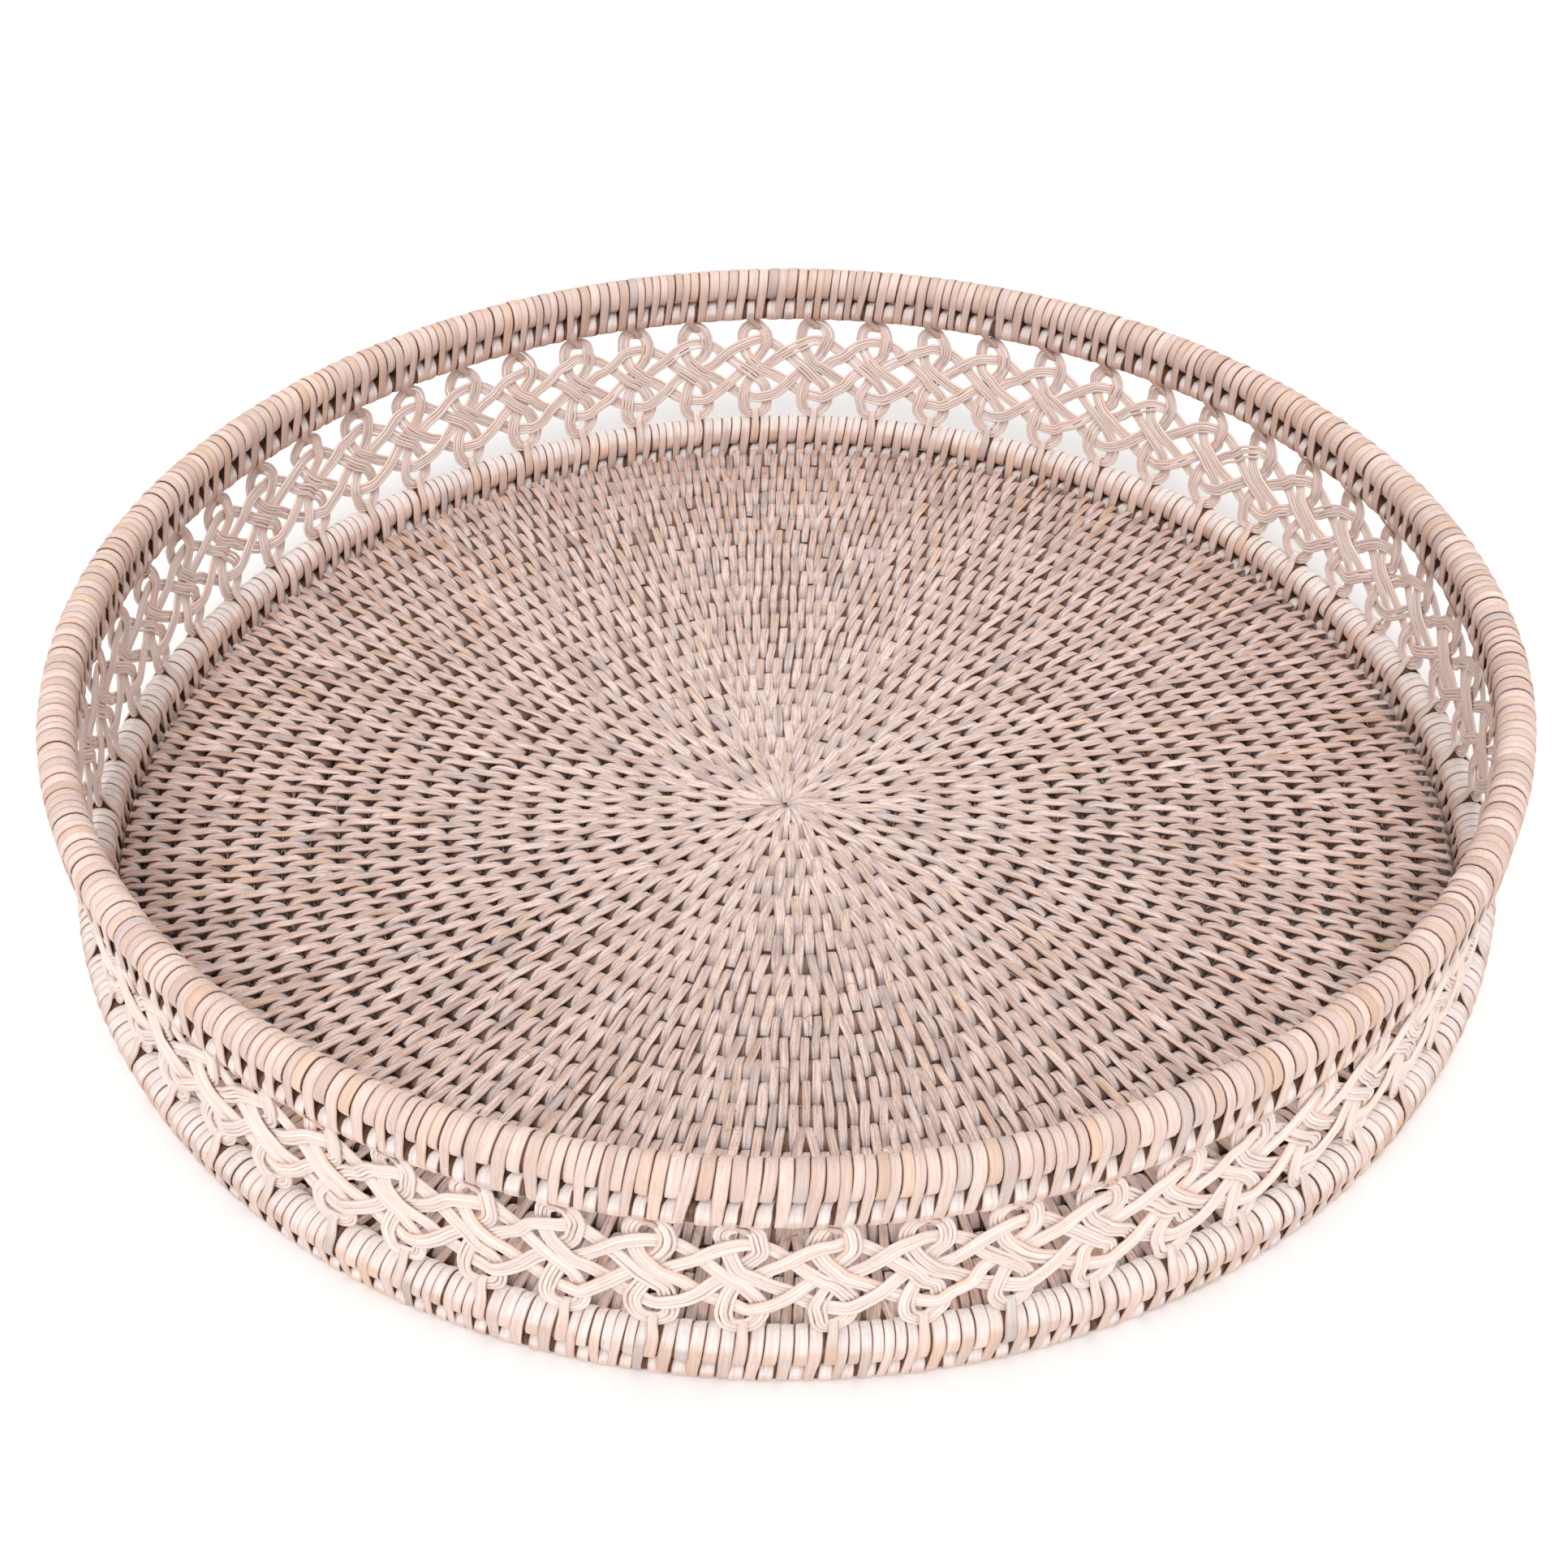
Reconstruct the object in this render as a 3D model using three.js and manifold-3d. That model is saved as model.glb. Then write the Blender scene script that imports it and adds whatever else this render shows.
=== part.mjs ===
// Round openwork rattan serving tray.
//
// Frame: millimetres, +Z up, origin on the table under the centre of the tray.
// The tray is a coiled basket. A flat spiral of cane makes the floor, and peel stitching covers it
// above and below. A thin and a thick hoop, bound together with peel, edge the floor. A plaited band of
// four weavers stands on them and carries the rim, which is again a thin and a thick hoop bound with
// peel. Each weaver is four canes side by side, and makes a small loop at every second repeat of the
// plait: two of the weavers loop at the top, in the rim's binding, and two at the bottom, in the
// edge's.
import * as THREE from "three";
import { mergeVertices } from "three/addons/utils/BufferGeometryUtils.js";
import Module from "manifold-3d";

// Driving dimensions
const OUTER_R = 215; // outside of the rim
const HEIGHT = 80; // table to the top of the rim
const PEEL = 0.55; // thickness of the binding and stitching peel
const CLEAR = 0.5; // between a hoop and its binding
const GAP = 0.3; // between other neighbours

const FLOOR_TOP = 8.4;
const FLOOR_R = 203.2;
const COIL_PITCH = 8.4; // floor cane, centre to centre of neighbouring turns
const COIL_GAP = 1.0; // between turns, where the stitching passes
const CANE_ENDS = [0.55, 9, 15, 20, 25.2]; // turns at which one length of floor cane meets the next
const FINE_FROM = 8; // turns
const STEPS_PER_TURN = 20;
const NAVEL_R = 1.2; // small hole at the middle, where the coil starts

const HOOP_STEPS = 48;
const BINDING_LENGTHS = 8; // lengths of peel in each binding
const EDGE_THIN = { r: 208.8, z: 4.4, a: 4.1 }; // hoop radius, height, and radius over the binding
const EDGE_THICK = { r: 209.8, z: 13.55, a: 5.15 };
const RIM_THIN = { r: 210.0, z: 64.6, a: 4.4 };
const RIM_THICK = { r: OUTER_R - 5.4, z: HEIGHT - 5.4, a: 5.4 };
const SLOT_HALF = 1.5; // half the gap in a binding, where the plait's loops go in

const REPEATS = 60; // of the plait round the tray
const WEAVER_LENGTHS = 6; // lengths of cane in each weaver
const WEAVER_W = 3.5;
const WEAVER_T = 0.6;
const LIFT = 1.0; // of a weaver from the middle of the plait, where it crosses another
const PLAIT_R = 209.9;
const PLAIT_Z = 39.45;

const PEEL_COLOUR = 0xd9bfae;
const STITCH_COLOUR = 0xcbb0a2;
const CANE_COLOUR = 0xa58a72;
const WEAVER_COLOUR = 0xe0cdc0;

const tray = new THREE.Group();
const floor = new THREE.Group();
const edge = new THREE.Group();
const plait = new THREE.Group();
const rim = new THREE.Group();
tray.add(floor, edge, plait, rim);

function add(group, name, geometry, color) {
  const material = new THREE.MeshStandardMaterial({ color, roughness: 0.78, metalness: 0 });
  const mesh = new THREE.Mesh(geometry, material);
  mesh.name = name;
  group.add(mesh);
}

// A closed (radius, height) outline turned about Z through a full turn.
function turned(outline) {
  const points = outline.map(([r, z]) => new THREE.Vector2(r, z));
  points.push(points[0].clone());
  if (THREE.ShapeUtils.isClockWise(points)) points.reverse();
  return new THREE.LatheGeometry(points, HOOP_STEPS).rotateX(Math.PI / 2);
}

// The same through part of a turn, with its two ends closed.
function turnedPart(outline, from, to, steps) {
  const contour = outline.map(([r, z]) => new THREE.Vector2(r, z));
  if (THREE.ShapeUtils.isClockWise(contour)) contour.reverse();
  const n = contour.length,
    positions = [],
    index = [];
  for (let i = 0; i <= steps; i++) {
    const phi = from + ((to - from) * i) / steps;
    for (const p of contour) positions.push(p.x * Math.cos(phi), p.x * Math.sin(phi), p.y);
  }
  for (let i = 0; i < steps; i++)
    for (let j = 0; j < n; j++) {
      const a = i * n + j,
        b = i * n + ((j + 1) % n);
      index.push(a, a + n, b, b, a + n, b + n);
    }
  for (const [a, b, c] of THREE.ShapeUtils.triangulateShape(contour, [])) {
    index.push(a, b, c);
    index.push(steps * n + c, steps * n + b, steps * n + a);
  }
  const g = new THREE.BufferGeometry();
  g.setAttribute("position", new THREE.Float32BufferAttribute(positions, 3));
  g.setIndex(index);
  return g;
}

function circle({ r, z, a }, sides) {
  return Array.from({ length: sides }, (_, i) => {
    const t = (2 * Math.PI * (i + 0.5)) / sides;
    const k = a - PEEL - CLEAR;
    return [r + Math.cos(t) * k, z + Math.sin(t) * k];
  });
}

// A flat strip through stated points, with the direction it faces stated at each.
class Course extends THREE.Curve {
  constructor(points, faces) {
    super();
    this.points = points;
    this.faces = faces;
  }
  getSpacedPoints() {
    return this.points.map((p) => p.clone());
  }
  computeFrenetFrames() {
    const tangents = [],
      normals = [],
      binormals = [];
    this.points.forEach((p, i) => {
      const into = p.clone().sub(this.points[Math.max(0, i - 1)]);
      const out = this.points[Math.min(this.points.length - 1, i + 1)].clone().sub(p);
      const t = into.normalize().add(out.normalize()).normalize();
      const w = new THREE.Vector3().crossVectors(this.faces[i], t).normalize();
      tangents.push(t);
      binormals.push(new THREE.Vector3().crossVectors(t, w).normalize());
      // A mitre keeps the strip's width round a corner.
      const mitre = out.lengthSq() > 0 ? Math.max(0.72, out.dot(t)) : 1;
      normals.push(w.divideScalar(mitre));
    });
    return { tangents, normals, binormals };
  }
}
function strip(points, faces, width, thickness) {
  const s = new THREE.Shape();
  s.moveTo(-width / 2, -thickness / 2);
  s.lineTo(width / 2, -thickness / 2);
  s.lineTo(width / 2, thickness / 2);
  s.lineTo(-width / 2, thickness / 2);
  s.closePath();
  return new THREE.ExtrudeGeometry(s, {
    steps: points.length - 1,
    extrudePath: new Course(points, faces),
  });
}

const wasm = await Module();
wasm.setup();
function solid(geometry) {
  const g = geometry.clone();
  g.deleteAttribute("normal");
  g.deleteAttribute("uv");
  const m = mergeVertices(g, 1e-4);
  return new wasm.Manifold(
    new wasm.Mesh({
      numProp: 3,
      vertProperties: new Float32Array(m.attributes.position.array),
      triVerts: new Uint32Array(m.index.array),
    }),
  );
}
function geometryOf(manifold) {
  const m = manifold.getMesh();
  const g = new THREE.BufferGeometry();
  g.setAttribute("position", new THREE.BufferAttribute(new Float32Array(m.vertProperties), 3));
  g.setIndex(new THREE.BufferAttribute(new Uint32Array(m.triVerts), 1));
  return g;
}

// Floor. The last turn of cane is pared away to nothing against a circle.
const caneHeight = FLOOR_TOP - 2 * (PEEL + GAP);
const paring = solid(
  turned([
    [0, -1],
    [FLOOR_R - PEEL, -1],
    [FLOOR_R - PEEL, FLOOR_TOP + 1],
    [0, FLOOR_TOP + 1],
  ]),
);
for (let k = 0; k + 1 < CANE_ENDS.length; k++) {
  const radius = (t) => COIL_PITCH * (t - 0.5);
  const from = CANE_ENDS[k] + (k ? 2 / (2 * Math.PI * radius(CANE_ENDS[k])) : 0);
  const to = CANE_ENDS[k + 1];
  const turns = [from];
  for (let t = from; ; turns.push(t)) {
    const perTurn = t < FINE_FROM ? STEPS_PER_TURN / 2 : STEPS_PER_TURN;
    t = (Math.floor(t * perTurn + 0.2) + 1) / perTurn;
    if (t > to - 0.2 / perTurn) break;
  }
  turns.push(to);
  const points = turns.map((t) => {
    const phi = 2 * Math.PI * t;
    return new THREE.Vector3(
      radius(t) * Math.cos(phi),
      radius(t) * Math.sin(phi),
      FLOOR_TOP / 2,
    );
  });
  const faces = points.map(() => new THREE.Vector3(0, 0, 1));
  let g = strip(points, faces, COIL_PITCH - COIL_GAP, caneHeight);
  if (k === CANE_ENDS.length - 2) {
    const bodies = solid(g).intersect(paring).decompose();
    g = geometryOf(bodies.sort((a, b) => b.volume() - a.volume())[0]);
  }
  add(floor, `floor_cane_${k + 1}`, g, CANE_COLOUR);
}
const skin = (z0, z1) =>
  turned([
    [NAVEL_R, z0],
    [FLOOR_R, z0],
    [FLOOR_R, z1],
    [NAVEL_R, z1],
  ]);
add(floor, "floor_stitching_top", skin(FLOOR_TOP - PEEL, FLOOR_TOP), STITCH_COLOUR);
add(floor, "floor_stitching_underside", skin(0, PEEL), STITCH_COLOUR);

// Hoops
add(edge, "edge_hoop_thin", turned(circle(EDGE_THIN, 6)), CANE_COLOUR);
add(edge, "edge_hoop_thick", turned(circle(EDGE_THICK, 6)), CANE_COLOUR);
add(rim, "rim_hoop_thin", turned(circle(RIM_THIN, 6)), CANE_COLOUR);
add(rim, "rim_hoop_thick", turned(circle(RIM_THICK, 6)), CANE_COLOUR);

// Bindings. Peel wound round both hoops is a shell of the peel's thickness, with a slot where the
// plait's loops go in. near is the hoop beside the plait, far the other one, and up is 1 where the
// plait is above them.
function sideOf(near, far, up, side, inset) {
  const at = (hoop, degrees) => {
    const t = (degrees * Math.PI) / 180,
      a = hoop.a - inset;
    return [hoop.r + side * a * Math.cos(t), hoop.z + up * a * Math.sin(t)];
  };
  return [
    [near.r + side * SLOT_HALF, near.z + up * (near.a - inset)],
    at(near, 30),
    at(near, -20),
    at(far, 30),
    at(far, 0),
    [far.r + side * 0.55 * (far.a - inset), far.z - up * (far.a - inset)],
  ];
}
function bind(group, name, near, far, up) {
  const outline = [
    ...sideOf(near, far, up, 1, 0),
    ...sideOf(near, far, up, -1, 0).reverse(),
    ...sideOf(near, far, up, -1, PEEL),
    ...sideOf(near, far, up, 1, PEEL).reverse(),
  ];
  // The outermost points lie on OUTER_R in both X and Y.
  const span = (2 * Math.PI) / BINDING_LENGTHS,
    gap = GAP / far.r;
  for (let i = 0; i < BINDING_LENGTHS; i++)
    add(
      group,
      `${name}_${i + 1}`,
      turnedPart(
        outline,
        (i - 0.5) * span + gap / 2,
        (i + 0.5) * span - gap / 2,
        HOOP_STEPS / BINDING_LENGTHS,
      ),
      PEEL_COLOUR,
    );
}
bind(edge, "edge_binding", EDGE_THICK, EDGE_THIN, 1);
bind(rim, "rim_binding", RIM_THIN, RIM_THICK, -1);

// Plait. One repeat of a weaver that loops at the bottom, as [along, up, side]. side is 1 where it
// passes outside the weaver it crosses and -1 where it passes inside. A weaver that loops at the top
// follows the same course turned half round in the plane of the plait.
const PITCH = (2 * Math.PI * PLAIT_R) / REPEATS;
const COURSE = [
  [-PITCH + 4.0, 12.3, -1],
  [-11, 8, -1],
  [-1.4, -1.4, 1],
  [5.3, -13, -1],
  [0, -18.9, 0],
  [-5.3, -13, 1],
  [1.4, -1.4, -1],
  [11, 8, 1],
  [PITCH - 4.0, 12.3, 1],
];
function weave(name, first, turnedOver) {
  const s = turnedOver ? -1 : 1;
  const loops = REPEATS / 2 / WEAVER_LENGTHS;
  for (let k = 0; k < WEAVER_LENGTHS; k++) {
    const points = [],
      faces = [];
    for (let i = k * loops; i < (k + 1) * loops; i++) {
      const course = turnedOver ? [...COURSE].reverse() : COURSE;
      for (const [along, up, side] of course) {
        const phi = ((first + 2 * i) * 2 * Math.PI) / REPEATS + (s * along) / PLAIT_R;
        const r = PLAIT_R + side * LIFT;
        points.push(new THREE.Vector3(r * Math.cos(phi), r * Math.sin(phi), PLAIT_Z + s * up));
        faces.push(new THREE.Vector3(Math.cos(phi), Math.sin(phi), 0));
      }
    }
    add(plait, `${name}_${k + 1}`, strip(points, faces, WEAVER_W, WEAVER_T), WEAVER_COLOUR);
  }
}
weave("weaver_bottom_loops_a", 0.5, false);
weave("weaver_bottom_loops_b", 1.5, false);
weave("weaver_top_loops_a", 0.5, true);
weave("weaver_top_loops_b", 1.5, true);

export default tray;
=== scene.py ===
import math

import bpy
import numpy as np
from mathutils import Matrix, Vector


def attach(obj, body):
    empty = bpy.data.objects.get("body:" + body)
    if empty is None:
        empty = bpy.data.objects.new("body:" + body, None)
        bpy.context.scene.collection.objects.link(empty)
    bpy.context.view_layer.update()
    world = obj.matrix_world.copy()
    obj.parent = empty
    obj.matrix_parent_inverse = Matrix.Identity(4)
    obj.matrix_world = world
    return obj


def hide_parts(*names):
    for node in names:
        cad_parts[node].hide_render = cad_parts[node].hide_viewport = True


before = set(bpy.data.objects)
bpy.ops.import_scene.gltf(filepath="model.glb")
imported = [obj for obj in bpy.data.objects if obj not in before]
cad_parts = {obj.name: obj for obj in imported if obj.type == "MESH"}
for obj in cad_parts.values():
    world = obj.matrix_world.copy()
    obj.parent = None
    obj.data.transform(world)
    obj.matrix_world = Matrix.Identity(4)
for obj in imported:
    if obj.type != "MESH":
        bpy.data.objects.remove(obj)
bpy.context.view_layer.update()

# Driving sizes, in mm. They repeat the frame's, which the CAD solids hold.
PITCH = 8.4  # floor coil
FLOOR_TOP = 8.4
FLOOR_R = 203.2
EDGE_THIN = (208.8, 4.4, 4.1)  # radius, height, radius over the binding
EDGE_THICK = (209.8, 13.55, 5.15)
RIM_THIN = (210.0, 64.6, 4.4)
RIM_THICK = (209.6, 74.6, 5.4)
PLAIT_R = 209.9
PLAIT_Z = 39.45
MOTIFS = 60
WRAPS = 414  # straps round each binding, long and short in turn
TAU = 2 * math.pi
FLOOR_EDGE = 204.3  # where the floor's straps end, under the ring
SLANT = -0.5  # mm that a floor strap's outer end lies round from its middle


# ---------------------------------------------------------------- meshes
def new_piece(name, verts, quads, strip, mark, material, slot):
    me = bpy.data.meshes.new(name)
    me.vertices.add(len(verts))
    me.vertices.foreach_set("co", (np.asarray(verts) * 0.001).astype(np.float32).ravel())
    me.loops.add(len(quads) * 4)
    me.loops.foreach_set("vertex_index", np.asarray(quads, dtype=np.int32).ravel())
    me.polygons.add(len(quads))
    me.polygons.foreach_set("loop_start", np.arange(0, 4 * len(quads), 4, dtype=np.int32))
    me.update(calc_edges=True)
    me.polygons.foreach_set("use_smooth", np.ones(len(quads), dtype=bool))
    for key, data in (("strip", strip), ("mark", mark)):
        a = me.attributes.new(key, "FLOAT_VECTOR", "POINT")
        a.data.foreach_set("vector", np.asarray(data, dtype=np.float32).ravel())
    me.materials.append(material)
    ob = bpy.data.objects.new(name, me)
    bpy.context.scene.collection.objects.link(ob)
    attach(ob, "root")
    return ob


# Half a peel strip's section, as (across, proud in mm): a crowned back with rounded edges.
PEEL = np.array(
    [
        (-0.92, -0.5), (-1.0, -0.26), (-0.95, -0.08), (-0.80, 0.0), (0.0, 0.06),
        (0.80, 0.0), (0.95, -0.08), (1.0, -0.26), (0.92, -0.5), (0.0, -0.46),
    ]
)


def swept(P, W, N, half, section, closed, rnd, end, thick=1.0, extra=None):
    """Strips of stations P (S, M, 3), across W and outward N, half widths (S, M)."""
    S, M, _ = P.shape
    K = len(section)
    half = np.broadcast_to(half, (S, M))
    V = (
        P[:, :, None, :]
        + W[:, :, None, :] * (half[:, :, None, None] * section[None, None, :, 0, None])
        + N[:, :, None, :] * (section[None, None, :, 1, None] * thick)
    )
    run = np.zeros((S, M))
    run[:, 1:] = np.cumsum(np.linalg.norm(np.diff(P, axis=1), axis=2), axis=1)
    strip = np.empty((S, M, K, 3))
    strip[..., 0] = section[None, None, :, 0]
    strip[..., 1] = run[:, :, None]
    strip[..., 2] = rnd[:, 0, None, None]
    mark = np.empty((S, M, K, 3))
    mark[..., 0] = np.broadcast_to(end, (S, M))[:, :, None]
    mark[..., 1] = rnd[:, 1, None, None]
    mark[..., 2] = rnd[:, 2, None, None] if extra is None else extra[:, :, None]
    m = np.arange(M if closed else M - 1)
    k = np.arange(K)
    a = (m[:, None] * K + k[None, :]).ravel()
    b = (m[:, None] * K + (k[None, :] + 1) % K).ravel()
    c = (((m[:, None] + 1) % M) * K + (k[None, :] + 1) % K).ravel()
    d = (((m[:, None] + 1) % M) * K + k[None, :]).ravel()
    Q = np.stack([a, b, c, d], 1)
    if not closed:
        z = (M - 1) * K
        fan = [(0, K - 1 - i, K - 2 - i, K - 3 - i) for i in range(0, K - 3, 2)]
        fan = np.array(fan)
        Q = np.concatenate([Q, fan, fan[:, ::-1] + z])
    # Outward faces, from the first strip's signed volume.
    v = V[0].reshape(-1, 3) - V[0].reshape(-1, 3).mean(0)
    vol = np.einsum("ij,ij->i", v[Q[:, 0]], np.cross(v[Q[:, 1]], v[Q[:, 2]])).sum()
    vol += np.einsum("ij,ij->i", v[Q[:, 0]], np.cross(v[Q[:, 2]], v[Q[:, 3]])).sum()
    if vol < 0:
        Q = Q[:, ::-1]
    Q = (Q[None] + (np.arange(S) * M * K)[:, None, None]).reshape(-1, 4)
    return V.reshape(-1, 3), Q, strip.reshape(-1, 3), mark.reshape(-1, 3)


def joined(parts):
    verts, quads, strips, marks, base = [], [], [], [], 0
    for v, q, s, m in parts:
        verts.append(v)
        quads.append(q + base)
        strips.append(s)
        marks.append(m)
        base += len(v)
    return np.concatenate(verts), np.concatenate(quads), np.concatenate(strips), np.concatenate(marks)


# ---------------------------------------------------------------- materials
def srgb(r, g, b):
    f = lambda c: c / 12.92 if c <= 0.04045 else ((c + 0.055) / 1.055) ** 2.4
    return (f(r / 255), f(g / 255), f(b / 255), 1.0)


class Nodes:
    def __init__(self, name):
        self.mat = bpy.data.materials.new(name)
        self.mat.use_nodes = True
        self.t = self.mat.node_tree
        self.t.nodes.clear()

    def add(self, kind, **values):
        n = self.t.nodes.new(kind)
        for k, v in values.items():
            setattr(n, k, v)
        return n

    def link(self, a, b):
        self.t.links.new(a, b)

    def put(self, socket, value):
        if hasattr(value, "is_output"):
            self.link(value, socket)
        else:
            socket.default_value = value

    def math(self, op, a, b=0.0, c=None, clamp=False):
        n = self.add("ShaderNodeMath", operation=op, use_clamp=clamp)
        self.put(n.inputs[0], a)
        self.put(n.inputs[1], b)
        if c is not None:
            self.put(n.inputs[2], c)
        return n.outputs[0]

    def ramp(self, value, stops, interpolation="LINEAR"):
        n = self.add("ShaderNodeValToRGB")
        n.color_ramp.interpolation = interpolation
        e = n.color_ramp.elements
        while len(e) < len(stops):
            e.new(0.5)
        for i, (pos, col) in enumerate(stops):
            e[i].position = pos
            e[i].color = col if not isinstance(col, (int, float)) else (col, col, col, 1)
        self.put(n.inputs[0], value)
        return n.outputs[0]

    def mix(self, factor, a, b, blend="MIX"):
        n = self.add("ShaderNodeMix", data_type="RGBA", blend_type=blend)
        self.put(n.inputs["Factor"], factor)
        self.put(n.inputs[6], a)
        self.put(n.inputs[7], b)
        return n.outputs[2]

    def noise(self, vector, scale, detail=3.0, roughness=0.55):
        n = self.add("ShaderNodeTexNoise")
        self.put(n.inputs["Vector"], vector)
        n.inputs["Scale"].default_value = scale
        n.inputs["Detail"].default_value = detail
        n.inputs["Roughness"].default_value = roughness
        return n.outputs["Fac"]

    def combine(self, x, y, z):
        n = self.add("ShaderNodeCombineXYZ")
        for s, v in zip(n.inputs, (x, y, z)):
            self.put(s, v)
        return n.outputs[0]

    def attribute(self, name):
        a = self.add("ShaderNodeAttribute", attribute_name=name)
        s = self.add("ShaderNodeSeparateXYZ")
        self.link(a.outputs["Vector"], s.inputs[0])
        return s.outputs


def rattan(name, tones, wash, wash_amount, dark, fibre=1.0, stain=0.5, roughness=0.72, bump=0.5, across=2.2,
           patch_scale=60.0, pale=srgb(248, 240, 234), centre_painted_light=0.0, edge=0.6):
    """tones: colours of single straps, from common to rare. wash: whitewash left in the hollows, which on the floor
    straps' dipping ends is painted shade as well.
    """
    n = Nodes(name)
    u, v, r1 = n.attribute("strip")  # across from -1 to 1, along in mm
    end, r2, r3 = n.attribute("mark")
    where = n.add("ShaderNodeTexCoord").outputs["Object"]
    seed = n.math("MULTIPLY", r1, 57.0)
    # Fibres run along the strap.
    fibres = n.noise(n.combine(n.math("MULTIPLY_ADD", u, across, seed), n.math("MULTIPLY", v, 0.07), seed), 1.0, 4.0, 0.65)
    fine = n.noise(n.combine(n.math("MULTIPLY_ADD", u, across * 3.1, seed), n.math("MULTIPLY", v, 0.25), r2), 1.0, 3.0, 0.6)
    pores = n.noise(n.combine(n.math("MULTIPLY_ADD", u, across * 2.0, seed), n.math("MULTIPLY", v, 1.1), r3), 1.0, 2.0, 0.5)
    tone = n.ramp(r2, tones)
    # Each strap a little lighter or darker.
    level = n.math("MULTIPLY_ADD", r3, 0.24, 0.86)
    base = n.mix(1.0, tone, n.combine(level, level, level), "MULTIPLY")
    # Grey and tan stains: some the size of a strap's end, some that cross several straps.
    patch = n.noise(where, patch_scale, 4.0, 0.65)
    base = n.mix(n.math("MULTIPLY", n.ramp(patch, [(0.56, 0.0), (0.74, 1.0)]), 0.42 * stain), base, srgb(158, 142, 142))
    patch2 = n.noise(where, patch_scale * 1.9, 3.0, 0.6)
    base = n.mix(n.math("MULTIPLY", n.ramp(patch2, [(0.55, 0.0), (0.70, 1.0)]), 0.55 * stain), base, srgb(224, 178, 140))
    # Painted light: straps lighter toward the middle of the floor, where the walls cast no shade.
    if centre_painted_light:
        far = n.add("ShaderNodeVectorMath", operation="LENGTH")
        n.link(where, far.inputs[0])
        inner = n.ramp(n.math("MULTIPLY", far.outputs["Value"], 5.0), [(0.0, 1.0), (0.95, 0.0)])
        base = n.mix(n.math("MULTIPLY", inner, centre_painted_light), base, srgb(250, 236, 230))
    # Whitewash stays where cloth doesn't reach; on the floor straps' dipping ends the greyer wash is painted shade as
    # well.
    cover = n.math("ADD", end, n.math("MULTIPLY_ADD", fine, 0.5, -0.25))
    base = n.mix(n.math("MULTIPLY", n.ramp(cover, [(0.20, 0.0), (0.80, 1.0)]), wash_amount), base, wash)
    streak = n.ramp(fibres, [(0.40, 0.0), (0.62, 1.0)])
    base = n.mix(n.math("MULTIPLY", streak, 0.42 * fibre), base, dark)
    light = n.ramp(fibres, [(0.28, 1.0), (0.42, 0.0)])
    base = n.mix(n.math("MULTIPLY", light, 0.45 * fibre), base, pale)
    thin = n.ramp(fine, [(0.52, 0.0), (0.66, 1.0)])
    base = n.mix(n.math("MULTIPLY", thin, 0.30 * fibre), base, dark)
    pore = n.ramp(pores, [(0.65, 0.0), (0.72, 1.0)])
    base = n.mix(n.math("MULTIPLY", pore, 0.45 * fibre), base, dark)
    # Painted shade: each strap darker along its edges and sides, where it meets the gaps.
    rim = n.ramp(n.math("ABSOLUTE", u), [(0.74, 0.0), (0.97, 1.0)])
    base = n.mix(n.math("MULTIPLY", rim, edge), base, dark)
    height = n.math("ADD", n.math("MULTIPLY", fibres, -0.7), n.math("MULTIPLY", fine, -0.4))
    height = n.math("SUBTRACT", height, n.math("MULTIPLY", pore, 0.25))
    b = n.add("ShaderNodeBump")
    b.inputs["Strength"].default_value = bump
    b.inputs["Distance"].default_value = 0.0004
    n.link(height, b.inputs["Height"])
    s = n.add("ShaderNodeBsdfPrincipled")
    s.inputs["Specular IOR Level"].default_value = 0.3
    n.link(base, s.inputs["Base Color"])
    n.link(n.math("MULTIPLY_ADD", fine, 0.25, roughness - 0.12), s.inputs["Roughness"])
    n.link(b.outputs[0], s.inputs["Normal"])
    o = n.add("ShaderNodeOutputMaterial")
    n.link(s.outputs[0], o.inputs[0])
    return n.mat


def core_material(name, light, mid, deep):
    n = Nodes(name)
    u, v, r1 = n.attribute("strip")
    rings = n.noise(n.combine(n.math("MULTIPLY", u, 1.2), n.math("MULTIPLY", v, 1.9), r1), 1.0, 4.0, 0.65)
    blotch = n.noise(n.add("ShaderNodeTexCoord").outputs["Object"], 240.0, 3.0, 0.6)
    base = n.ramp(rings, [(0.32, deep), (0.5, mid), (0.68, light)])
    base = n.mix(n.math("MULTIPLY", n.ramp(blotch, [(0.4, 0.0), (0.7, 1.0)]), 0.5), base, mid)
    b = n.add("ShaderNodeBump")
    b.inputs["Strength"].default_value = 0.6
    b.inputs["Distance"].default_value = 0.0004
    n.link(rings, b.inputs["Height"])
    s = n.add("ShaderNodeBsdfPrincipled")
    s.inputs["Roughness"].default_value = 0.85
    s.inputs["Specular IOR Level"].default_value = 0.2
    n.link(base, s.inputs["Base Color"])
    n.link(b.outputs[0], s.inputs["Normal"])
    o = n.add("ShaderNodeOutputMaterial")
    n.link(s.outputs[0], o.inputs[0])
    return n.mat


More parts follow.
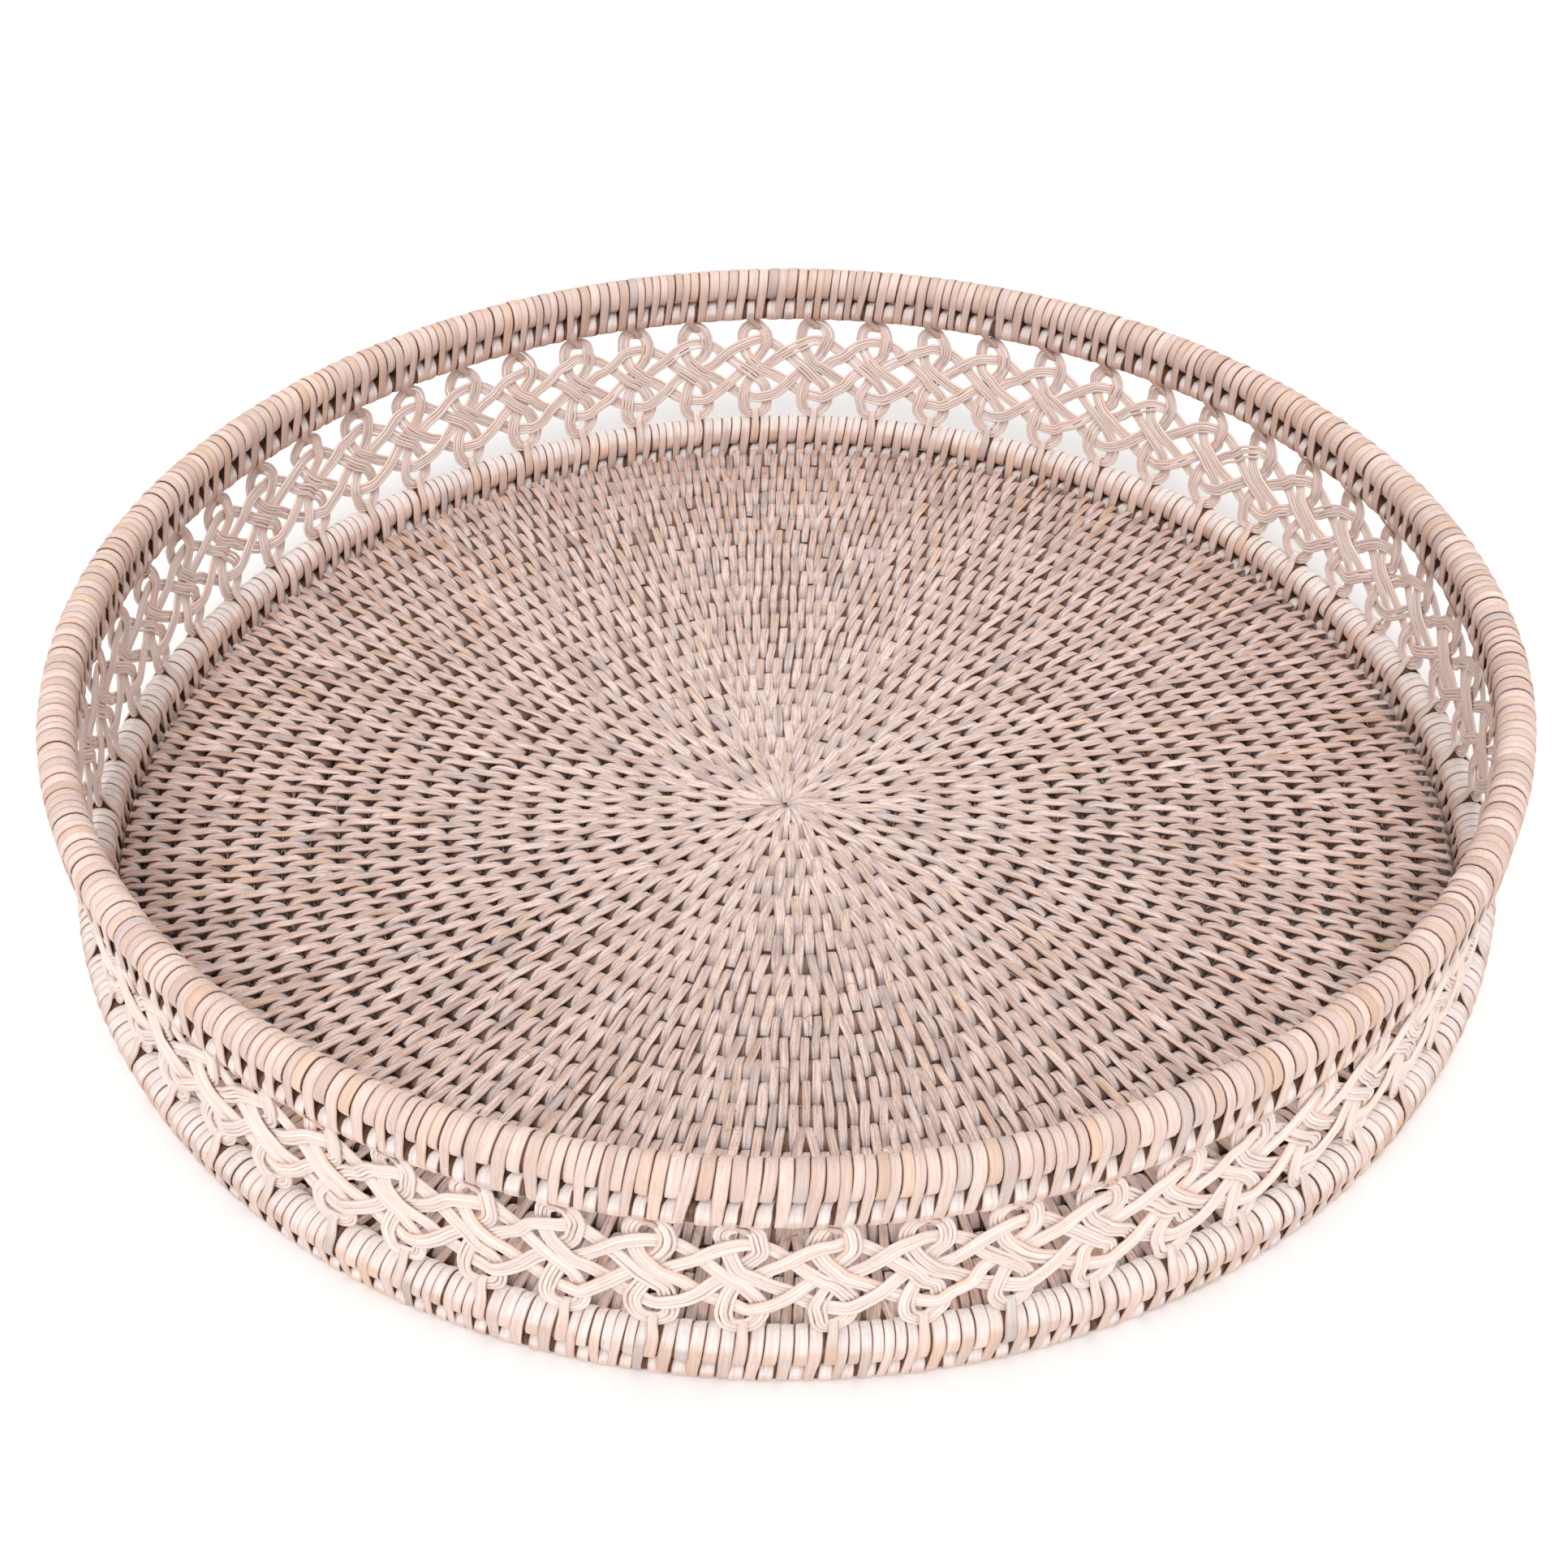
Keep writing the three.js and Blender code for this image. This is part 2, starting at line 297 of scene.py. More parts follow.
PEEL_MAT = rattan(
    "peel_whitewashed",
    [
        (0.00, srgb(237, 214, 203)),
        (0.45, srgb(239, 218, 209)),
        (0.80, srgb(234, 207, 192)),
        (0.94, srgb(234, 203, 181)),
        (0.98, srgb(214, 200, 198)),
    ],
    srgb(250, 243, 241),
    0.85,
    srgb(190, 152, 136),
    fibre=0.75,
    stain=0.38,
)
STITCH_MAT = rattan(
    "stitching_whitewashed",
    [
        (0.00, srgb(238, 213, 203)),
        (0.40, srgb(243, 219, 210)),
        (0.75, srgb(231, 204, 190)),
        (0.92, srgb(234, 202, 177)),
        (0.97, srgb(204, 186, 182)),
    ],
    # Greyish wash: whitewash at the straps' ends, with painted shade where they dip into the gaps.
    srgb(228, 217, 214),
    0.80,
    srgb(150, 112, 102),
    fibre=1.3,
    edge=0.5,
    stain=0.75,
    bump=0.9,
    patch_scale=95.0,
    pale=srgb(238, 225, 221),
    centre_painted_light=0.42,
)
WEAVER_MAT = rattan(
    "weaver_cane_whitewashed",
    [
        (0.00, srgb(250, 237, 231)),
        (0.50, srgb(249, 234, 228)),
        (0.85, srgb(244, 224, 215)),
        (0.95, srgb(236, 206, 184)),
        (1.00, srgb(226, 208, 202)),
    ],
    srgb(250, 242, 238),
    0.5,
    srgb(206, 175, 162),
    fibre=0.6,
    across=1.2,
    stain=0.2,
    edge=0.0,
)
CORE_MAT = core_material("core_cane", srgb(180, 150, 132), srgb(142, 113, 97), srgb(84, 62, 52))
HOOP_MAT = core_material("hoop_cane", srgb(150, 116, 96), srgb(112, 82, 66), srgb(70, 48, 38))


# ---------------------------------------------------------------- floor stitching
rng = np.random.default_rng(485)


def stitch_rows(seed):
    """Straps in their order along the spiral, as angles that count on through the turns."""
    gen = np.random.default_rng(seed)
    radius = lambda th: PITCH * (0.5 + th / TAU)
    weights = np.array([1, 3, 6, 7, 6, 3, 1]) / 27
    raw = [0.0]
    while raw[-1] < TAU:
        raw.append(raw[-1] + 5.7 / (radius(raw[-1]) + 0.75 * PITCH) * (1 + gen.normal(0, 0.04)))
    raw = [a * (TAU - 0.02) / raw[-1] for a in raw]
    even = list(raw[:-3])
    j, spare, doubled = 0, 0.0, False
    while True:
        a, b = even[j], even[j + 1]
        here = radius(a + TAU)
        if here > FLOOR_EDGE + 0.35 * PITCH:
            break
        shift = TAU + SLANT / here
        gap = b - a
        spare += gap * (here + 0.5 * PITCH) / 5.7 - 1
        if spare > 0.35 and gap * here > 5.9 and (not doubled or here < 40) or spare > 3:
            raw += [a + gap * 0.34 + shift, a + gap * 0.66 + shift]
            spare -= 1
            doubled = True
        else:
            raw.append(a + gap * (0.5 + gen.normal(0, 0.03)) + shift)
            doubled = False
        while len(even) + 3 < len(raw):
            i = len(even)
            mean = float(weights @ np.array(raw[i - 3 : i + 4]))
            limit = 1.4 / radius(raw[i])
            even.append(raw[i] + min(max(mean - raw[i], -limit), limit))
        j += 1
    raw, even = np.array(raw[: len(even)]), np.array(even)
    return raw, even + gen.normal(0, 0.09, len(even)) / (radius(raw) + PITCH)


STATIONS = np.array([-0.975, -0.945, -0.88, -0.74, -0.5, -0.2, 0.12, 0.42, 0.68, 0.85, 0.935, 0.975])


def arch(x, drop=4.3, start=0.42):
    """Height below the top of a strap that spans two coils, for x from -1 to 1."""
    a = np.abs(x)
    t = np.clip((a - start) / (0.985 - start), 0, 1)
    fall = drop * (1 - np.sqrt(np.maximum(0.0, 1 - t * t)))
    dip = 0.16 * np.exp(-((x / 0.2) ** 2))
    return fall + dip


def stitching(top):
    gen = np.random.default_rng(11 if top else 12)
    raw, even = stitch_rows(485 if top else 486)
    n = len(raw)
    rc = PITCH * (0.5 + raw / TAU)
    r_out = np.minimum(rc + PITCH * 0.985, FLOOR_EDGE)
    r_in = np.maximum(rc - PITCH * 0.985, 0.75)
    first = r_in <= 0.76
    x = np.broadcast_to(STATIONS, (n, len(STATIONS)))
    # Stations fall on the radii that this strap really spans.
    mid = np.minimum(rc, FLOOR_EDGE - 0.9)[:, None]
    r = np.where(x < 0, mid + x * (mid - r_in[:, None]) / 0.975, mid + x * (r_out[:, None] - mid) / 0.975)
    t = (r - r_in[:, None]) / (r_out - r_in)[:, None]
    s = np.clip((t - 0.12) / 0.7, 0, 1)
    ang = raw[:, None] + (even - raw)[:, None] * (s * s * (3 - 2 * s)) + math.pi
    ang = ang + SLANT * x / np.maximum(r, 6)
    lean = gen.normal(0, 0.12, (n, 1)) * x + gen.normal(0, 0.12, (n, 1)) * np.sin(np.pi * t)
    ang = ang + lean / np.maximum(r, 4)
    lift = gen.uniform(-0.14, 0.08, (n, 1))
    tuck = gen.normal(0, 0.05, (n, 1)) * np.abs(x) ** 3
    z = FLOOR_TOP - 0.09 - arch(np.clip(x + tuck, -0.985, 0.985)) + lift * (1 - x * x)
    roll = gen.normal(0, 0.06, (n, 1)) + gen.normal(0, 0.16, (n, 1)) * x**3
    fan = np.exp(-((r / 8.0) ** 2))
    roll = roll + np.where(first[:, None], (0.34 if top else 0.12) * fan, 0)
    z = np.where(first[:, None], z + (0.5 if top else 0.0) * fan * (np.abs(x) < 0.9), z)
    z = np.minimum(z, FLOOR_TOP - 0.02)
    er = np.stack([np.cos(ang), np.sin(ang), np.zeros_like(ang)], -1)
    et = np.stack([-np.sin(ang), np.cos(ang), np.zeros_like(ang)], -1)
    p = er * r[..., None]
    p[..., 2] = z
    T = np.gradient(p, axis=1)
    T /= np.linalg.norm(T, axis=2, keepdims=True)
    w = et - T * np.sum(et * T, axis=2, keepdims=True)
    w /= np.linalg.norm(w, axis=2, keepdims=True)
    nn = np.cross(T, w)
    nn *= np.sign(nn[:, :, 2:3] + 1e-9)
    cr, sr = np.cos(roll)[..., None], np.sin(roll)[..., None]
    w, nn = w * cr + nn * sr, nn * cr - w * sr
    width = (np.clip(gen.normal(2.70, 0.19, (n, 1)), 2.2, 3.1) + 0.75 * smoothstep(rc[:, None], 110, 30)) * (1 + 0.08 * gen.normal(0, 1, (n, 1)) * (t - 0.5))
    half = width / 2 * (1 - 0.16 * smoothstep(np.abs(x), 0.7, 1.0))
    half = np.minimum(half, 0.66 + 0.21 * r)
    # Wash toward each end, where the strap dips into the gap: whitewash left there, and painted shade.
    e = smoothstep(np.abs(x), 0.38, 0.86)
    if not top:
        p[..., 2] = FLOOR_TOP - p[..., 2]
        w = w * np.array([1, 1, -1.0])
        nn = nn * np.array([1, 1, -1.0])
    return p, w, nn, half, e, gen.uniform(0, 1, (n, 3))


def smoothstep(x, a, b):
    t = np.clip((x - a) / (b - a), 0, 1)
    return t * t * (3 - 2 * t)


def add_stitching(top, label, node):
    P, W, N, H, E, R = stitching(top)
    rad = np.hypot(P[:, 6, 0], P[:, 6, 1])
    cuts = [0, 102, 144, 177, 999]
    out = []
    for i in range(4):
        pick = (rad >= cuts[i]) & (rad < cuts[i + 1])
        g = swept(P[pick], W[pick], N[pick], H[pick], PEEL, False, R[pick], E[pick])
        if not top:
            g[0][:, 2] = np.where(g[0][:, 2] < 0.1, 0.1 * np.exp((g[0][:, 2] - 0.1) * 3), g[0][:, 2])
        ob = new_piece(f"{label}_{i + 1}", *g, STITCH_MAT, "stitching")
        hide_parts(node)
        out.append(ob)
    return out


add_stitching(True, "floor_straps_top", "floor_stitching_top")
add_stitching(False, "floor_straps_under", "floor_stitching_underside")


# ---------------------------------------------------------------- round canes
def ring_section(sides, a):
    t = TAU * np.arange(sides) / sides
    return np.stack([np.cos(t), np.sin(t)], 1) * a


def tube(path, across, radius, sides, closed, rnd, end=0.0):
    """Round cane: path (S, M, 3), across a unit vector square to the path (S, M, 3)."""
    if closed:
        T = np.roll(path, -1, 1) - np.roll(path, 1, 1)
    else:
        T = np.gradient(path, axis=1)
    T /= np.linalg.norm(T, axis=2, keepdims=True)
    w = across - T * np.sum(across * T, axis=2, keepdims=True)
    w /= np.linalg.norm(w, axis=2, keepdims=True)
    n = np.cross(T, w)
    sec = ring_section(sides, 1.0)
    sec = np.stack([sec[:, 0], sec[:, 1] * radius], 1)
    return swept(path, w, n, np.full(path.shape[:2], radius), sec, closed, rnd, end)


def spiral_core():
    t = np.concatenate([np.arange(0.56, 6, 1 / 40), np.arange(6, 24.96, 1 / 110)])
    r = PITCH * (t - 0.5)
    ph = TAU * t
    path = np.stack([r * np.cos(ph), r * np.sin(ph), np.full_like(t, FLOOR_TOP / 2)], 1)[None]
    up = np.zeros_like(path)
    up[..., 2] = 1
    v, q, s, m = tube(path, up, 3.4, 10, False, rng.uniform(0, 1, (1, 3)))
    # The last turn is pared away against the ring.
    far = np.hypot(v[:, 0], v[:, 1])
    v[:, :2] *= np.minimum(1, 203.7 / np.maximum(far, 1e-6))[:, None]
    return v, q, s, m


core = new_piece("floor_core_cane", *spiral_core(), CORE_MAT, "cane")
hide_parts("floor_cane_1", "floor_cane_2", "floor_cane_3", "floor_cane_4")


def stray_fibres(count):
    gen = np.random.default_rng(77)
    r0 = 200 * np.sqrt(gen.uniform(0.02, 1, count))
    a0 = gen.uniform(0, TAU, count)
    heading = gen.uniform(0, TAU, count)
    length = gen.uniform(3.5, 9.0, count)
    bend = gen.normal(0, 1.1, count)
    t = np.linspace(0, 1, 9)[None]
    turn_ = heading[:, None] + bend[:, None] * t
    step = length[:, None] / 8
    dx = np.cumsum(np.cos(turn_) * step, 1)
    dy = np.cumsum(np.sin(turn_) * step, 1)
    x = (r0 * np.cos(a0))[:, None] + dx
    y = (r0 * np.sin(a0))[:, None] + dy
    over = np.maximum(np.hypot(x, y) / 201.0, 1)
    z = 6.6 + 2.15 * np.sin(np.pi * np.clip(t * gen.uniform(0.55, 1.0, (count, 1)) + 0.06, 0, 1)) + 0.1
    path = np.stack([x / over, y / over, z], -1)
    up = np.zeros_like(path)
    up[..., 2] = 1
    g = tube(path, up, 0.085, 6, False, gen.uniform(0, 1, (count, 3)), 0.6)
    return new_piece("floor_stray_fibres", *g, STITCH_MAT, "stitching")


stray_fibres(230)


def hoop(name, spec, node):
    r, z, a = spec
    ph = TAU * np.arange(240) / 240
    path = np.stack([r * np.cos(ph), r * np.sin(ph), np.full_like(ph, z)], 1)[None]
    up = np.zeros_like(path)
    up[..., 2] = 1
    ob = new_piece(name, *tube(path, up, a - 0.62, 12, True, rng.uniform(0, 1, (1, 3))), HOOP_MAT, "cane")
    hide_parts(node)


hoop("edge_thin_hoop_cane", EDGE_THIN, "edge_hoop_thin")
hoop("edge_thick_hoop_cane", EDGE_THICK, "edge_hoop_thick")
hoop("rim_thin_hoop_cane", RIM_THIN, "rim_hoop_thin")
hoop("rim_thick_hoop_cane", RIM_THICK, "rim_hoop_thick")


# ---------------------------------------------------------------- bindings
def on(hoop_, degrees, grow=0.0):
    r, z, a = hoop_
    t = np.radians(degrees)
    return np.stack([r + (a + grow) * np.cos(t), z + (a + grow) * np.sin(t)], -1)


def resample(points, count):
    """A closed outline through the points, at even steps."""
    p = np.vstack([points, points[:1]])
    d = np.concatenate([[0], np.cumsum(np.linalg.norm(np.diff(p, axis=0), axis=1))])
    t = np.linspace(0, d[-1], count, endpoint=False)
    return np.stack([np.interp(t, d, p[:, 0]), np.interp(t, d, p[:, 1])], 1)


def smooth_closed(p, rounds=2):
    for _ in range(rounds):
        p = (np.roll(p, 1, 0) + 2 * p + np.roll(p, -1, 0)) / 4
    return p


LEAN = 0.12  # of a binding, in mm round for each mm up


def wraps(outline, angles, gen, width, top, lean=LEAN, sway=0.03, wash=None, grow=0.0, shape=None, pull=None, room=1.0):
    """Straps wound round an outline (M, 2) at the angles given, as turns of a helix."""
    S, M = len(angles), len(outline)
    o = outline[None] + np.zeros((S, 1, 1))
    d = np.roll(outline, -1, 0) - np.roll(outline, 1, 0)
    d /= np.linalg.norm(d, axis=1, keepdims=True)
    nrm = np.stack([d[:, 1], -d[:, 0]], 1)
    c = outline.mean(0)
    if np.sum((outline - c) * nrm) < 0:
        nrm = -nrm
    o = o + nrm[None] * (grow + gen.normal(0, 0.05, (S, 1)))[..., None]
    reach = (outline[:, 0].max() - outline[:, 0].min()) / 2
    side = np.clip((o[..., 0] - c[0]) / (0.6 * reach), -1, 1)
    ang = angles[:, None] - (lean + gen.normal(0, sway, (S, 1))) * (top - o[..., 1]) * side / 210.0
    if pull is not None:
        ang = ang + pull
    er = np.stack([np.cos(ang), np.sin(ang), np.zeros_like(ang)], -1)
    et = np.stack([-np.sin(ang), np.cos(ang), np.zeros_like(ang)], -1)
    P = er * o[..., 0:1]
    P[..., 2] = o[..., 1]
    N = er * nrm[None, :, 0:1]
    N[..., 2] = nrm[None, :, 1]
    tilt = gen.normal(0, 0.045, (S, 1))[..., None]
    W = et + N * tilt
    N = N - et * tilt
    half = np.clip(gen.normal(width, 0.07, (S, 1)), width - 0.2, width + 0.16) / 2 * (o[..., 0] / 214.5) * room
    if shape is not None:
        half = half * shape(o[..., 0], o[..., 1])
    end = np.zeros((S, M)) if wash is None else np.broadcast_to(wash(o[..., 0], o[..., 1]), (S, M))
    return swept(P, W, N, half, PEEL, True, gen.uniform(0, 1, (S, 3)), end)


def pair_outline(upper, lower, count):
    """Round both hoops: down outside, up inside."""
    pts = [on(upper, a) for a in (90, 72, 54, 36, 18, 2)]
    pts += [on(lower, a) for a in (-4, -22, -42, -62, -80, -100, -118, -138, -158, -176)]
    pts += [on(upper, a) for a in (178, 162, 144, 126, 108)]
    return smooth_closed(resample(np.array(pts), count), 1)


def round_outline(hoop_, count, grow=0.0):
    return np.array([on(hoop_, 90 - 360 * i / count, grow) for i in range(count)])


slots = np.arange(WRAPS) * TAU / WRAPS
motif = (np.arange(MOTIFS) + 0.5) * TAU / MOTIFS
odd = np.arange(1, WRAPS, 2)
tie_slot = np.array([odd[np.argmin(np.abs(odd - m / TAU * WRAPS))] for m in motif])


def bind(label, upper, lower, near_is_lower, seed, nodes):
    gen = np.random.default_rng(seed)
    # The slots crowd a little, so that one of them meets each loop of the plait.
    near = tie_slot * TAU / WRAPS
    ring = np.arange(-1, 2)[:, None] * TAU
    spread = np.interp(slots, (near + ring).ravel(), np.tile((motif - near) * 0.8, 3))
    at = slots + spread
    room = (np.roll(at, -1) - np.roll(at, 1)) % TAU / 2 * WRAPS / TAU
    room = np.clip(room, 0.86, 1.14)
    at = at + gen.normal(0, 0.022, WRAPS) * TAU / WRAPS
    longs, shorts = at[0::2], at[1::2]
    long_room, short_room = room[0::2, None], room[1::2, None]
    tied = np.isin(odd, tie_slot)
    z_join = (upper[1] - upper[2] + lower[1] + lower[2]) / 2
    top = upper[1] + upper[2]
    # Long straps are drawn in where they cross the lower hoop, and pads swell between them.
    long_shape = lambda r, z: 1 - 0.12 * smoothstep(z, z_join + 3, z_join - 1)
    pad_shape = lambda r, z: 1.0 - 0.24 * smoothstep(z, lower[1] + 0.6 * lower[2], lower[1] + lower[2])
    if near_is_lower:
        short_wash = lambda r, z: 0.30 * smoothstep(z, z_join + 2.2, z_join - 0.4)
        long_wash = lambda r, z: 0.12 * smoothstep(z, z_join + 1, z_join - 3)
        pads, pad_room = shorts[~tied], short_room[~tied]
        tops, top_room = shorts, short_room
    else:
        short_wash = lambda r, z: 0.85 * smoothstep(z, upper[1] + 0.8, upper[1] + 3.2)
        long_wash = lambda r, z: 0.75 * smoothstep(z, upper[1] + 1.2, upper[1] + 3.4)
        pads, pad_room = shorts, short_room
        tops, top_room = shorts[~tied], short_room[~tied]
    pad_wash = lambda r, z: 1.25 * smoothstep(z, lower[1] - 0.6, lower[1] + 1.4)
    a = wraps(pair_outline(upper, lower, 26), longs, gen, 3.08, top, wash=long_wash, shape=long_shape, room=long_room)
    b = wraps(round_outline(upper, 18, -0.02), tops, gen, 3.08, top, wash=short_wash, room=top_room)
    c = wraps(round_outline(lower, 16, -0.08), pads, gen, 3.56, top, wash=pad_wash, shape=pad_shape, room=pad_room)
    obs = [
        new_piece(f"{label}_long_straps", *a, PEEL_MAT, "peel"),
        new_piece(f"{label}_short_straps", *b, PEEL_MAT, "peel"),
        new_piece(f"{label}_pad_straps", *c, PEEL_MAT, "peel"),
    ]
    # A strap at each repeat of the plait hooks its loop.
    if near_is_lower:
        side = [on(lower, x, 0.22) for x in (95, 70, 45, 20, -5, -30)]
        low = [(PLAIT_R + 1.85, 59.2), (PLAIT_R + 1.55, 57.2), (PLAIT_R + 0.7, 55.7)]
        low += [(PLAIT_R - 0.7, 55.7), (PLAIT_R - 1.55, 57.2), (PLAIT_R - 1.85, 59.2)]
        back = [on(lower, x, 0.22) for x in (-150, -175, 160, 135, 112)]
        z_loop, z_hoop = 57.5, 62.5
        wash = pad_wash
    else:
        side = [on(upper, x, 0.2) for x in (-95, -70, -45, -20, 5, 30, 50)]
        low = [(PLAIT_R + 1.85, 19.9), (PLAIT_R + 1.55, 21.7), (PLAIT_R + 0.7, 23.2)]
        low += [(PLAIT_R - 0.7, 23.2), (PLAIT_R - 1.55, 21.7), (PLAIT_R - 1.85, 19.9)]
        back = [on(upper, x, 0.2) for x in (130, 150, 175, -160, -135, -112)]
        z_loop, z_hoop = 21.5, 16.5
        wash = lambda r, z: 0.5 * smoothstep(z, 15.0, 19.0)
    outline = smooth_closed(resample(np.array([*side, *low, *back]), 26), 1)
    # Each tie starts in its slot and reaches over to the middle of its loop.
    start = at[tie_slot]
    lean_here = LEAN * (top - z_loop) / 210.0
    away = (motif - start)[:, None]
    over = smoothstep(outline[:, 1], z_hoop, z_loop)[None]
    side_here = np.clip((outline[:, 0] - outline[:, 0].mean()) / 1.2, -1, 1)[None]
    pull = over * (away + lean_here * side_here)
    slim = lambda r, z: 1 - 0.16 * smoothstep(z, z_hoop, z_loop)
    t = wraps(outline, start, gen, 3.12, top, wash=wash, shape=slim, pull=pull)
    obs.append(new_piece(f"{label}_loop_ties", *t, PEEL_MAT, "peel"))
    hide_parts(*nodes)
    return obs


bind("rim", RIM_THICK, RIM_THIN, True, 21, [f"rim_binding_{i}" for i in range(1, 9)])
bind("edge", EDGE_THICK, EDGE_THIN, False, 22, [f"edge_binding_{i}" for i in range(1, 9)])


# ---------------------------------------------------------------- plait
# One repeat of a weaver that loops at the bottom: along, up, and side (1 outside, -1 inside).
HALF = [
    (0.0, -17.7, 0.0),
    (-3.2, -16.3, 0.6),
    (-4.55, -13.2, 0.95),
    (-4.2, -9.5, 0.85),
    (-2.6, -5.6, -0.5),
    (0.0, -2.6, -1.0),
    (2.9, -0.2, -1.0),
    (7.0, 2.9, -0.1),
    (11.1, 5.9, 0.95),
    (15.0, 8.9, 1.0),
    (18.6, 10.6, 0.95),
]
BACK = [(44.4 - x, y, -s) for x, y, s in HALF[:0:-1]]
REPEAT = np.array([*HALF, (22.2, 11.0, 0.0), *BACK])
SCALE = np.array([TAU * PLAIT_R / MOTIFS / 22.2, 1.062, 1.0])


def catmull(points, per):
    """Closed course through the points (M, 3), per steps between each."""
    p0, p1, p2, p3 = (np.roll(points, k, 0) for k in (1, 0, -1, -2))
    t = (np.arange(per) / per)[None, :, None]
    p0, p1, p2, p3 = (p[:, None, :] for p in (p0, p1, p2, p3))
    out = 0.5 * (2 * p1 + (p2 - p0) * t + (2 * p0 - 5 * p1 + 4 * p2 - p3) * t**2 + (3 * p1 - p0 - 3 * p2 + p3) * t**3)
    return out.reshape(-1, 3)


def weaver(name, first, turned, seed, nodes):
    gen = np.random.default_rng(seed)
    n = MOTIFS // 2
    pts = []
    for i in range(n):
        c = REPEAT * SCALE
        c = c + gen.normal(0, 1, c.shape) * np.array([0.3, 0.26, 0.05])
        if turned:
            c = c * np.array([-1, -1, 1.0])
            c = c[::-1]
            c[:, 0] += 2 * SCALE[0] * 22.2
        c[:, 0] += 2 * i * SCALE[0] * 22.2
        pts.append(c)
    pts = np.concatenate(pts)
    total = n * 2 * SCALE[0] * 22.2
    # Close the course: work on the differences, so that the join is seamless.
    ext = np.concatenate([pts[-3:] - [total, 0, 0], pts, pts[:3] + [total, 0, 0]])
    per = 4
    p = np.concatenate([
        0.5
        * (
            2 * ext[i + 1]
            + (ext[i + 2] - ext[i]) * t
            + (2 * ext[i] - 5 * ext[i + 1] + 4 * ext[i + 2] - ext[i + 3]) * t**2
            + (3 * ext[i + 1] - ext[i] - 3 * ext[i + 2] + ext[i + 3]) * t**3
        )
        for i in range(2, len(pts) + 2)
        for t in (np.arange(per)[:, None] / per,)
    ])
    M = len(p)
    nx = np.concatenate([p[1:], p[:1] + [total, 0, 0]])
    pv = np.concatenate([p[-1:] - [total, 0, 0], p[:-1]])
    T = nx - pv
    side = np.stack([-T[:, 1], T[:, 0]], 1)
    side /= np.linalg.norm(side, axis=1, keepdims=True)
    paths = []
    phase = np.arange(M) / M * TAU
    for j in range(4):
        off = (j - 1.5) * 1.05
        wob = sum(gen.normal(0, 0.085) * np.sin(phase * f + gen.uniform(0, TAU)) for f in (23, 37, 61, 97))
        out = sum(gen.normal(0, 0.05) * np.sin(phase * f + gen.uniform(0, TAU)) for f in (31, 53, 89))
        x = p[:, 0] + side[:, 0] * (off + wob)
        y = p[:, 1] + side[:, 1] * (off + wob)
        r = PLAIT_R + p[:, 2] * 0.74 + out
        ang = motif[0] + first * TAU / MOTIFS + x / PLAIT_R
        paths.append(np.stack([r * np.cos(ang), r * np.sin(ang), PLAIT_Z + y], 1))
    paths = np.array(paths)
    ang = np.arctan2(paths[..., 1], paths[..., 0])
    radial = np.stack([np.cos(ang), np.sin(ang), np.zeros_like(ang)], -1)
    g = tube(paths, radial, 0.535, 8, True, gen.uniform(0, 1, (4, 3)))
    ob = new_piece(name, *g, WEAVER_MAT, "weavers")
    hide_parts(*nodes)
    return ob


for (kind, turned) in (("bottom", False), ("top", True)):
    for k, letter in enumerate("ab"):
        weaver(
            f"weaver_canes_{kind}_loops_{letter}",
            k,
            turned,
            31 + k + 2 * turned,
            [f"weaver_{kind}_loops_{letter}_{i}" for i in range(1, 7)],
        )


